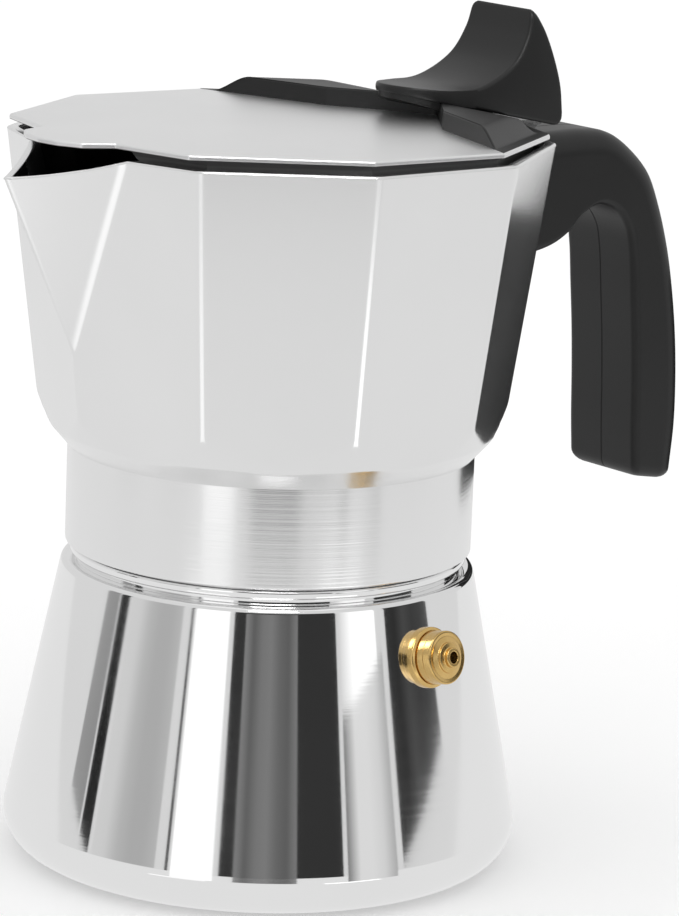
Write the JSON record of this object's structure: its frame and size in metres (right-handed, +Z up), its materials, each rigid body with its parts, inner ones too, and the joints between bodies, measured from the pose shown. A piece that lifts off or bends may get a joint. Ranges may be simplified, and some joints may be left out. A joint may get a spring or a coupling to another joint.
{
  "type": "moka pot",
  "caption": "Stovetop moka pot: mirror-steel conical boiler with a brass valve, ten-sided aluminium jug with spout, hinged lid, black thumb knob and handle.",
  "frame": {"origin": "centre of the boiler's flat underside, on the pot's vertical axis", "axes": "+Z up along the pot's axis, +X towards the handle, -X towards the spout"},
  "size_m": [0.1736, 0.1066, 0.1737],
  "materials": {
    "polished_steel": "mirror polished, faintly brushed around",
    "plain_steel": "satin",
    "satin_aluminium": "fine satin",
    "bright_aluminium": "turned, bare",
    "brass": "turned and polished",
    "spring_steel": "drawn wire",
    "black_plastic": "satin moulded",
    "black_screw": "plated",
    "white_rubber": "matt silicone",
    "red_fibre": "pressed fibre"
  },
  "bodies": {
    "boiler": {"boiler": "polished_steel", "valve_body": "brass", "valve_cap": "brass", "valve_spring": "spring_steel", "valve_washer": "red_fibre", "valve_nut": "brass"},
    "valve_poppet": {"valve_poppet": "brass"},
    "funnel": {"funnel": "bright_aluminium", "funnel_strainer": "plain_steel"},
    "seal": {"gasket": "white_rubber", "filter_plate": "bright_aluminium"},
    "jug": {"upper_chamber": "satin_aluminium", "riser_column": "bright_aluminium", "hinge_pin": "plain_steel", "handle_left": "black_plastic", "handle_right": "black_plastic", "handle_screws": "black_screw"},
    "lid": {"lid": "satin_aluminium", "lid_saddle": "black_plastic", "knob_plate": "black_plastic", "knob": "black_plastic", "knob_screws": "black_screw"}
  },
  "joints": [
    {"name": "valve_lift", "type": "slide", "parent": "boiler", "child": "valve_poppet", "axis": [0.1617, -0.9665, 0.1993], "range_m": [0, 0.0008], "stiffness_N_per_m": 400, "springref_m": -0.002, "deforming": ["valve_spring"]},
    {"name": "funnel_lift", "type": "slide", "parent": "boiler", "child": "funnel", "axis": [0, 0, 1], "range_m": [0, 0.075]},
    {"name": "thread_lift", "type": "slide", "parent": "funnel", "child": "seal", "axis": [0, 0, 1], "range_m": [0, 0.008]},
    {"name": "unscrew", "type": "hinge", "parent": "seal", "child": "jug", "pos_m": [0, 0, 0.07], "axis": [0, 0, 1], "range_deg": [0, 900]},
    {"name": "lid_hinge", "type": "hinge", "parent": "jug", "child": "lid", "pos_m": [0.063, 0, 0.1516], "axis": [0, 1, 0], "range_deg": [0, 100]}
  ],
  "couplings": [
    {"joint": "thread_lift", "follows": "unscrew", "m_per_rad": 0.0005093}
  ]
}
